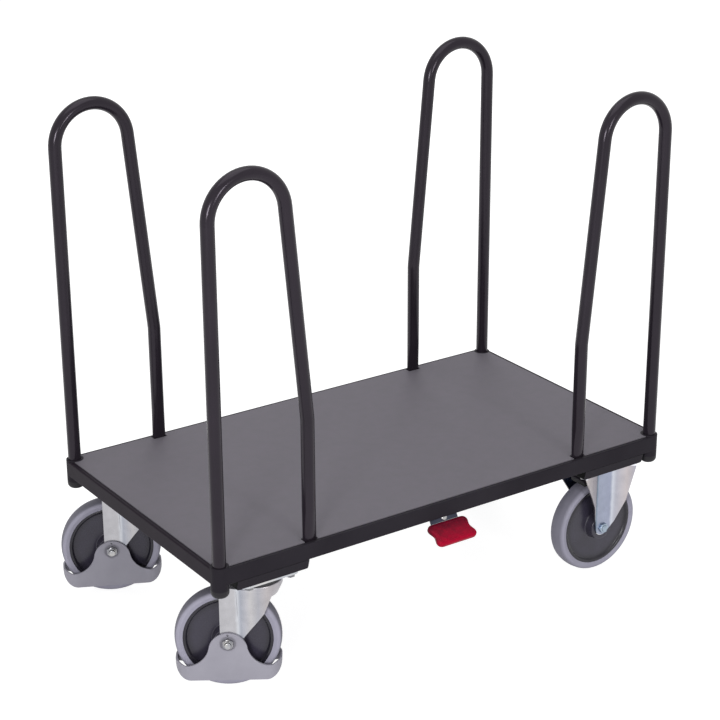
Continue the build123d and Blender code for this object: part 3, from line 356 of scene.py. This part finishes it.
def zinc_with_painted_light(name, bands, middle, turn, highlight_from):
    """Zinc with painted reflections in bands ahead of a middle, each a place and a colour, a painted
    highlight above a height, and painted shade on the faces inside the legs.
    """
    material, tree, place = new_material(name)
    local = add_node(
        tree,
        "ShaderNodeMapping",
        {"Vector": place, "Location": middle, "Rotation": (0, 0, turn)},
        vector_type="TEXTURE",
    ).outputs[0]
    clouds = add_node(tree, "ShaderNodeTexNoise", {"Vector": local, "Scale": 1 / zinc_cloud, "Detail": 3.0})
    sway = add_node(
        tree,
        "ShaderNodeMapRange",
        {"Value": clouds.outputs["Fac"], "To Min": -band_sway, "To Max": band_sway},
    )
    axes = add_node(tree, "ShaderNodeSeparateXYZ", {"Vector": local}).outputs
    swayed = add_node(tree, "ShaderNodeMath", {0: axes["X"], 1: sway.outputs[0]}, operation="ADD")
    # Painted reflections: bands of colour along the fork.
    first, first_colour = bands[0]
    last, last_colour = bands[-1]
    along = add_node(
        tree, "ShaderNodeMapRange", {"Value": swayed.outputs[0], "From Min": first, "From Max": last}
    )
    tint = add_node(tree, "ShaderNodeValToRGB", {"Fac": along.outputs[0]})
    stops = tint.color_ramp.elements
    stops[1].position = 1.0
    stops[0].color = linear(first_colour)
    stops[1].color = linear(last_colour)
    for spot, colour in bands[1:-1]:
        stops.new((spot - first) / (last - first)).color = linear(colour)
    cloudy = add_node(tree, "ShaderNodeMapRange", {"Value": clouds.outputs["Fac"], **cloud_shades})
    banded = add_node(
        tree,
        "ShaderNodeMix",
        {0: 1.0, 6: tint.outputs[0], 7: cloudy.outputs[0]},
        data_type="RGBA",
        blend_type="MULTIPLY",
    )
    # Painted highlight above the given height.
    height = add_node(tree, "ShaderNodeSeparateXYZ", {"Vector": place}).outputs["Z"]
    bend = add_node(
        tree,
        "ShaderNodeMapRange",
        {"Value": height, "From Min": highlight_from, "From Max": highlight_from + bend_fade},
    )
    highlighted = add_node(
        tree,
        "ShaderNodeMix",
        {0: bend.outputs[0], 6: banded.outputs[2], 7: linear(painted_highlight_zinc)},
        data_type="RGBA",
    )
    # Painted shade on the faces inside the legs.
    facing = add_node(
        tree,
        "ShaderNodeMapping",
        {"Vector": add_node(tree, "ShaderNodeTexCoord").outputs["Normal"], "Rotation": (0, 0, turn)},
        vector_type="TEXTURE",
    )
    facing_across = add_node(tree, "ShaderNodeSeparateXYZ", {"Vector": facing.outputs[0]}).outputs["Y"]
    outwards = add_node(tree, "ShaderNodeMath", {0: axes["Y"], 1: facing_across}, operation="MULTIPLY")
    inside = add_node(tree, "ShaderNodeMapRange", {"Value": outwards.outputs[0], **inside_facing})
    lined = add_node(
        tree,
        "ShaderNodeMix",
        {0: inside.outputs[0], 6: highlighted.outputs[2], 7: linear(painted_shade_zinc)},
        data_type="RGBA",
    )
    finish_metal(tree, local, lined.outputs[2], sheet_streak, (0.26, 0.34))
    return material


fixed_reflection_bands = (
    (-0.07, "#bcb7b6"),
    (-0.024, "#b6b2b5"),
    (-0.0195, "#70808f"),
    (-0.015, "#9298a9"),
    (0.016, "#9398ab"),
    (0.0215, "#bfc3cd"),
    (0.028, "#a9a9b3"),
    (0.045, "#b5aeb0"),
    (0.062, "#9d9ca8"),
)
fixed_highlight_height = 0.234
castor_lines = {"front": -0.2305, "rear": 0.2305}
axle_height = 0.1
fixed_axle_x = 0.4085
axles = {}
for side in sides:
    axles[f"fixed_{side}"] = (Vector((fixed_axle_x, castor_lines[side], axle_height)), 0.0)
    fork_zinc = zinc_with_painted_light(
        f"fixed_zinc_with_painted_light_{side}", fixed_reflection_bands, *axles[f"fixed_{side}"], fixed_highlight_height
    )
    eased(f"fixed_fork_{side}", 0.9 * mm, fork_zinc)

# Fixed castor axles: plated bolts with low nuts, through steel tubes that the bearings are clamped on.
# Blue passivated zinc on turned steel: cool and satin, with the corners well rounded.
blue_zinc = plated("blue_zinc_plate", "#8593a2", "#a7b3bf", barrel_cloud, barrel_streak, (0.38, 0.48))
for name in ("fixed_axle_bolts", "fixed_axle_nuts"):
    eased(name, 1.4 * mm, blue_zinc)

# Ground bearing steel: clear, bright and nearly white.
bright_steel = plated("ground_bearing_steel", "#bfc1c6", "#d2d2d2", 20 * mm, 0.6 * mm, (0.16, 0.24))
paint(["fixed_axle_tubes"], bright_steel)

# Swivel castor heads: pressed plates with a rolled ball race, riveted to the forks by a kingpin, with steel
# balls between plate and fork.
# Zinc on pressed sheet: broad clouds, cool to warm, with long streaks from the mill.
zinc_plate = plated("zinc_plated_sheet", "#a8adb7", "#c9c7c6", 50 * mm, sheet_streak, (0.26, 0.36))
for side in sides:
    eased(f"swivel_plate_{side}", 0.9 * mm, zinc_plate)

# Bright zinc on turned and forged steel: cool, a little cloudy, with a soft sparkle on the chamfers.
zinc_fastener = plated(
    "zinc_plated_fastener", "#989aa1", "#bab8b6", barrel_cloud, barrel_streak, (0.22, 0.32)
)
paint(["kingpins"], zinc_fastener)
paint([f"swivel_balls_{side}" for side in sides], bright_steel)

# Swivel forks: pressed sheet, flat at the axle and flared out to the round crown, plated as the plates.
# Bands of painted reflection run across the flare where it curves round to the crown; a painted highlight
# runs along the top of the crown, and painted shade darkens the faces inside the legs.
swivel_reflection_bands = (
    (-0.02, "#acabaf"),
    (0.014, "#b1b0b4"),
    (0.0195, "#c3c5cb"),
    (0.025, "#9fa2ac"),
    (0.034, "#adadb4"),
    (0.044, "#bab8ba"),
    (0.058, "#a7a7ae"),
    (0.074, "#b0abad"),
    (0.104, "#a29fa5"),
)
swivel_highlight_height = 0.2215
kingpin_x = -0.404
swivel_trail = 0.053
swivel_turns = {"front": math.radians(-33.0), "rear": math.radians(-26.0)}
for side, turn in swivel_turns.items():
    behind = swivel_trail * Vector((math.cos(turn), math.sin(turn), 0))
    axles[f"swivel_{side}"] = (Vector((kingpin_x, castor_lines[side], axle_height)) - behind, turn)
    fork_zinc = zinc_with_painted_light(
        f"drawn_zinc_{side}", swivel_reflection_bands, *axles[f"swivel_{side}"], swivel_highlight_height
    )
    eased(f"swivel_fork_{side}", 0.7 * mm, fork_zinc)

# Dust seals: turned plastic rings that close the gap round the ball races. Acetal is black and a little
# waxy, with fine tool marks.
seal_plastic = grained(
    "black_acetal",
    ("#1d1d20", "#252529"),
    patch=20 * mm,
    grain=0.7 * mm,
    relief=0.02 * mm,
    roughness=(0.4, 0.5),
)
paint([f"swivel_seal_{side}" for side in sides], seal_plastic)


# Foot guards: moulded polypropylene plates bolted under the axle nuts, with softly rounded edges. The
# mould's fine grain, drawn coarser so that it shows, gives them a dull, even grey.
def ring_shade(axle, radii, depths):
    """A shade that changes from one depth to another between two radii from an axle."""

    def shade(tree, place):
        middle, turn = axle
        local = add_node(
            tree,
            "ShaderNodeMapping",
            {"Vector": place, "Location": middle, "Rotation": (0, 0, turn)},
            vector_type="TEXTURE",
        )
        flat = add_node(tree, "ShaderNodeMapping", {"Vector": local.outputs[0], "Scale": (1, 0, 1)})
        radius = add_node(tree, "ShaderNodeVectorMath", {"Vector": flat.outputs[0]}, operation="LENGTH")
        return add_node(
            tree,
            "ShaderNodeMapRange",
            {
                "Value": radius.outputs["Value"],
                "From Min": radii[0],
                "From Max": radii[1],
                "To Min": depths[0],
                "To Max": depths[1],
            },
            interpolation_type="SMOOTHSTEP",
        ).outputs[0]

    return shade


# Painted shade darkens the recess round the nut.
recess_shade = ((11 * mm, 18.5 * mm), (0.58, 1.0))
for side in sides:
    guard_plastic = grained(
        f"grey_polypropylene_{side}",
        ("#9997a2", "#a19faa"),
        patch=50 * mm,
        grain=0.9 * mm,
        relief=0.04 * mm,
        roughness=(0.42, 0.58),
        shade=ring_shade(axles[f"swivel_{side}"], *recess_shade),
        specular_ior_level=0.3,
    )
    eased(f"foot_guard_{side}", 1.2 * mm, guard_plastic)

# Swivel castor axles: plated bolts with self-locking nuts, whose round crimped collars stand above the
# hexagon, and steel tubes that the bearings are clamped on.
nut_seat = 0.0355
nut_corner = 0.0108
hexagon_height = 0.0056
corner_chamfer = 0.0026
collar_bore, collar_wall = 0.0062, 0.0086
collar = (
    (collar_bore, 0.0),
    (collar_wall, 0.0),
    (collar_wall, 0.0022),
    (0.0079, 0.0035),
    (0.007, 0.0036),
    (collar_bore, 0.0028),
)
collar_steps = 36
nut_sharp_angle = math.radians(28)
for side in sides:
    eased(f"swivel_axle_bolt_{side}", 0.8 * mm, zinc_fastener)
    paint([f"swivel_axle_tube_{side}"], bright_steel)
    build = bmesh.new()
    bmesh.ops.create_cone(
        build, cap_ends=True, segments=6, radius1=nut_corner, radius2=nut_corner, depth=hexagon_height
    )
    outer_corners = [vert for vert in build.verts if vert.co.z > 0]
    bmesh.ops.bevel(
        build,
        geom=outer_corners,
        offset=corner_chamfer,
        segments=2,
        profile=0.5,
        affect="VERTICES",
        material=-1,
    )
    ring = [build.verts.new((radius, 0, hexagon_height / 2 + rise)) for radius, rise in collar]
    ring_edges = [build.edges.new((ring[i - 1], ring[i])) for i in range(len(ring))]
    bmesh.ops.spin(
        build,
        geom=ring + ring_edges,
        cent=(0, 0, 0),
        axis=(0, 0, 1),
        angle=math.tau,
        steps=collar_steps,
        use_merge=True,
    )
    bmesh.ops.remove_doubles(build, verts=build.verts, dist=merge_reach)
    bmesh.ops.recalc_face_normals(build, faces=build.faces[:])
    middle, turn = axles[f"swivel_{side}"]
    outward = Vector((math.sin(turn), -math.cos(turn), 0))
    nut_place = Matrix.Translation(middle + outward * (nut_seat + hexagon_height / 2))
    nut_turn = outward.to_track_quat("Z", "Y").to_matrix().to_4x4()
    bmesh.ops.transform(build, matrix=nut_place @ nut_turn, verts=build.verts[:])
    nut = settle(build, f"locking_nut_{side}", nut_sharp_angle, zinc_fastener)
    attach(nut, f"swivel_{side}")
    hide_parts(f"swivel_axle_nut_{side}")

# Wheels: a rim and hub moulded in one piece of glass-filled polyamide, with a tyre of non-marking rubber
# moulded round it and a ball bearing in each end of the hub.
# The polyamide is satin from the mould's polished faces, and darkened with painted shade where the disc meets
# the ring.
# The rubber is a dull, even grey. Towards the tread it is darkened with painted shade, more on the wheels
# that swivel than on the others.
castors = [f"{kind}_{side}" for kind in ("swivel", "fixed") for side in sides]
rim_ring_shade = ((0.062, 0.08), (1.0, 0.45))
swivel_tread_shade = ((0.0955, 0.0995), (1.0, 0.5))
fixed_tread_shade = ((0.093, 0.099), (1.0, 0.74))
for castor in castors:
    rim_plastic = grained(
        f"dark_grey_polyamide_{castor}",
        ("#302d39", "#373442"),
        patch=40 * mm,
        grain=0.8 * mm,
        relief=0.01 * mm,
        roughness=(0.22, 0.3),
        shade=ring_shade(axles[castor], *rim_ring_shade),
        specular_ior_level=0.4,
    )
    eased(f"wheel_rim_{castor}", 3.5 * mm, rim_plastic)
    paint([f"wheel_bearings_{castor}"], bright_steel)
    # Painted shade towards the tread, deeper on the swivel wheels.
    tread = swivel_tread_shade if castor.startswith("swivel") else fixed_tread_shade
    grey_rubber = grained(
        f"grey_rubber_{castor}",
        ("#9a98a8", "#a3a1b1"),
        patch=30 * mm,
        grain=1.1 * mm,
        relief=0.05 * mm,
        roughness=(0.55, 0.72),
        shade=ring_shade(axles[castor], *tread),
        specular_ior_level=0.3,
    )
    paint([f"tyre_{castor}"], grey_rubber)

# Pedal lever: a bent steel plate on a hinge tube, with one bright rivet on its steep face. It turns on a
# plated pin between two lugs that are welded and coated with the frame.
# The steel's dark, cold tone is painted shade; its sheen is broad and soft.
lever_steel = plated("dark_steel_with_painted_shade", "#393b48", "#494b58", 30 * mm, 1.2 * mm, (0.34, 0.46))
lever = eased("pedal_lever", 0.6 * mm, lever_steel)
lever.data.materials.append(zinc_fastener)
rivet_middle = Vector((-0.018, -0.2881, 0.2541))
rivet_reach = 0.0085
rivet_foot = 0.0001
steep_slope = math.radians(60)
steep_normal = Vector((0, -math.sin(steep_slope), math.cos(steep_slope)))
for face in lever.data.polygons:
    offset = face.center - rivet_middle
    if offset.length < rivet_reach and offset.dot(steep_normal) > rivet_foot:
        face.material_index = 1
paint(["pedal_pin"], zinc_fastener)
paint(["pedal_bracket"], coat)

# Pedal pad: red plastic moulded over the lever's end, with waisted sides and a low border round its tread.
# The skin is glossy. The red is clear at the toe and deepens in clouds towards the rail: painted shadow
# of the rail.
pad_bend = Vector((-0.018, -0.2918, 0.2476))
pad_slope = math.radians(25)
pad_start, pad_end = 0.0008, 0.052
pad_half, pad_waist = 0.0495, 0.0405
pad_low, pad_top = -0.0072, 0.0032
pad_corner_round, pad_waist_round, pad_edge_round = 0.0155, 0.004, 0.003
border_width, border_step, border_depth = 0.004, 0.0008, 0.0009
level_reach = 1e-6
pad_sharp_angle = math.radians(38)
toe_red = "#ac032d"
shadowed_red = "#640e24"
red_cloud = 10 * mm
skin_grain = 1 * mm
material, tree, place = new_material("red_moulded_plastic")
local = add_node(
    tree,
    "ShaderNodeMapping",
    {"Vector": place, "Location": pad_bend, "Rotation": (pad_slope, 0, 0)},
    vector_type="TEXTURE",
)
toe = add_node(tree, "ShaderNodeSeparateXYZ", {"Vector": local.outputs[0]}).outputs["Y"]
# Painted shadow: the red deepens from the toe towards the rail.
out_of_shadow = add_node(tree, "ShaderNodeMapRange", {"Value": toe, "From Min": -pad_start, "From Max": -pad_end})
clouds = add_node(tree, "ShaderNodeTexNoise", {"Vector": place, "Scale": 1 / red_cloud, "Detail": 3.0})
swirl = add_node(
    tree, "ShaderNodeMapRange", {"Value": clouds.outputs["Fac"], "To Min": -0.6, "To Max": 0.38}
)
clear = add_node(
    tree, "ShaderNodeMath", {0: out_of_shadow.outputs[0], 1: swirl.outputs[0]}, operation="ADD", use_clamp=True
)
red = add_node(
    tree,
    "ShaderNodeMix",
    {0: clear.outputs[0], 6: linear(shadowed_red), 7: linear(toe_red)},
    data_type="RGBA",
)
grains = add_node(tree, "ShaderNodeTexNoise", {"Vector": place, "Scale": 1 / skin_grain, "Detail": 2.0})
gloss = add_node(
    tree, "ShaderNodeMapRange", {"Value": grains.outputs["Fac"], "To Min": 0.22, "To Max": 0.34}
)
bumps = add_node(tree, "ShaderNodeBump", {"Height": grains.outputs["Fac"], "Distance": 0.02 * mm})
shader = add_node(
    tree,
    "ShaderNodeBsdfPrincipled",
    {
        "Base Color": red.outputs[2],
        "Roughness": gloss.outputs[0],
        "Normal": bumps.outputs[0],
        "Specular IOR Level": 0.08,
    },
)
finish_material(tree, shader)
pad_frame = Matrix.Translation(pad_bend) @ Matrix(
    (
        (0, 1, 0, 0),
        (-math.cos(pad_slope), 0, -math.sin(pad_slope), 0),
        (-math.sin(pad_slope), 0, math.cos(pad_slope), 0),
        (0, 0, 0, 1),
    )
)
pad_middle = (pad_start + pad_end) / 2
build = bmesh.new()
outline = [
    build.verts.new((along, across, pad_low))
    for along, across in (
        (pad_start, -pad_half),
        (pad_middle, -pad_waist),
        (pad_end, -pad_half),
        (pad_end, pad_half),
        (pad_middle, pad_waist),
        (pad_start, pad_half),
    )
]
build.faces.new(outline)
corner_points = [outline[i] for i in (0, 2, 3, 5)]
waist_points = [outline[i] for i in (1, 4)]
for points, offset in ((corner_points, pad_corner_round), (waist_points, pad_waist_round)):
    bmesh.ops.bevel(
        build, geom=points, offset=offset, segments=8, profile=0.5, affect="VERTICES", material=-1
    )
walls = bmesh.ops.extrude_face_region(build, geom=build.faces[:])
raised = [item for item in walls["geom"] if isinstance(item, bmesh.types.BMVert)]
bmesh.ops.translate(build, verts=raised, vec=(0, 0, pad_top - pad_low))
bmesh.ops.recalc_face_normals(build, faces=build.faces[:])
rims = [edge for edge in build.edges if abs(edge.verts[0].co.z - edge.verts[1].co.z) < level_reach]
bmesh.ops.bevel(
    build, geom=rims, offset=pad_edge_round, segments=4, profile=0.5, affect="EDGES", material=-1
)
tread_face = max(build.faces, key=lambda face: face.calc_center_median().z)
bmesh.ops.inset_region(build, faces=[tread_face], thickness=border_width, depth=0)
bmesh.ops.inset_region(build, faces=[tread_face], thickness=border_step, depth=-border_depth)
bmesh.ops.transform(build, matrix=pad_frame, verts=build.verts[:])
pad = settle(build, "pedal_tread_pad", pad_sharp_angle, material)
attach(pad, "pedal")
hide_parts("pedal_pad")

# Brake rocker: a steel shaft with two welded arms, hung under the deck in two brackets and coated as the
# frame. The shoes on the arms are hard rubber: black, dry and without a shine.
paint(["brake_shaft", "brake_arms", "shaft_brackets"], coat)
shoe_rubber = grained(
    "black_hard_rubber",
    ("#1b1b1d", "#242426"),
    patch=20 * mm,
    grain=1 * mm,
    relief=0.05 * mm,
    roughness=(0.65, 0.75),
    specular_ior_level=0.3,
)
paint(["brake_pads"], shoe_rubber)


# Studio: a pale floor that keeps the shadow, in a white surround. A wide lamp overhead, two narrow ones in
# front that draw the streaks on the tubes, and a soft one behind.
def seen_directly(tree):
    """1 for rays that show a surface to the camera, straight or by reflection, and 0 for those that light
    another surface."""
    rays = add_node(tree, "ShaderNodeLightPath").outputs
    mirrored = add_node(
        tree, "ShaderNodeMath", {0: rays["Is Camera Ray"], 1: rays["Is Glossy Ray"]}, operation="MAXIMUM"
    )
    return add_node(
        tree, "ShaderNodeMath", {0: mirrored.outputs[0], 1: rays["Is Transmission Ray"]}, operation="MAXIMUM"
    ).outputs[0]


def soft_lamp(name, place, target, width, height, power, mirrored=True):
    """An area lamp at a place, turned to a target, whose shape shows in glossy surfaces or doesn't."""
    data = bpy.data.lights.new(name, "AREA")
    data.shape = "RECTANGLE"
    data.size = width
    data.size_y = height
    data.energy = power
    lamp = bpy.data.objects.new(name, data)
    lamp.location = place
    lamp.rotation_mode = "QUATERNION"
    lamp.rotation_quaternion = (Vector(target) - Vector(place)).to_track_quat("-Z", "Y")
    lamp.visible_camera = False
    lamp.visible_glossy = mirrored
    scene.collection.objects.link(lamp)


scene.view_settings.view_transform = "Standard"
world = bpy.data.worlds.new("studio")
scene.world = world
world.use_nodes = True
tree = world.node_tree
tree.nodes.clear()
strength = add_node(tree, "ShaderNodeMapRange", {"Value": seen_directly(tree), "To Min": 0.42, "To Max": 1.0})
sky = add_node(tree, "ShaderNodeBackground", {"Color": (1, 1, 1, 1), "Strength": strength.outputs[0]})
add_node(tree, "ShaderNodeOutputWorld", {"Surface": sky.outputs[0]})

# Matt floor paint: pale where it lights the trolley, and near white with a faint shadow where it is seen.
floor_reach = 12.0
floor_glow = 0.87
material, tree, place = new_material("pale_floor")
matt = add_node(tree, "ShaderNodeBsdfDiffuse", {"Color": linear("#dedede")})
faint = add_node(tree, "ShaderNodeBsdfDiffuse", {"Color": linear("#b0b0b0")})
glow = add_node(tree, "ShaderNodeEmission", {"Color": (1, 1, 1, 1), "Strength": floor_glow})
lit = add_node(tree, "ShaderNodeAddShader", {0: faint.outputs[0], 1: glow.outputs[0]})
shader = add_node(
    tree, "ShaderNodeMixShader", {0: seen_directly(tree), 1: matt.outputs[0], 2: lit.outputs[0]}
)
finish_material(tree, shader)
build = bmesh.new()
bmesh.ops.create_grid(build, x_segments=1, y_segments=1, size=floor_reach)
floor = settle(build, "floor", sharp_angle, material)

soft_lamp("overhead_lamp", (-0.3, -0.3, 3.6), target=(0, 0, 0.3), width=2.8, height=2.8, power=34)
soft_lamp("right_lamp", (-0.17, -4.7, 1.6), target=(0, 0, 0.6), width=0.65, height=1.0, power=44)
soft_lamp("left_lamp", (-3.2, -2.85, 1.4), target=(0, 0, 0.6), width=0.8, height=1.1, power=68)
soft_lamp(
    "rear_lamp", (2.6, 4.0, 2.2), target=(0, 0, 0.5), width=1.8, height=1.8, power=70, mirrored=False
)

# Camera: a long lens at standing height, off the near left corner, with a little shift to frame the hoops.
camera_data = bpy.data.cameras.new("photo_camera")
camera_data.sensor_width = 36.0
camera_data.lens = 101.635
camera_data.shift_x = -0.0363
camera_data.shift_y = 0.0367
camera = bpy.data.objects.new("photo_camera", camera_data)
camera.location = (-2.10553, -3.07851, 1.97017)
camera_aim = Vector((0.04965, 0.0, 0.40964))
camera.rotation_mode = "QUATERNION"
camera.rotation_quaternion = (camera_aim - camera.location).to_track_quat("-Z", "Y")
scene.collection.objects.link(camera)
scene.camera = camera
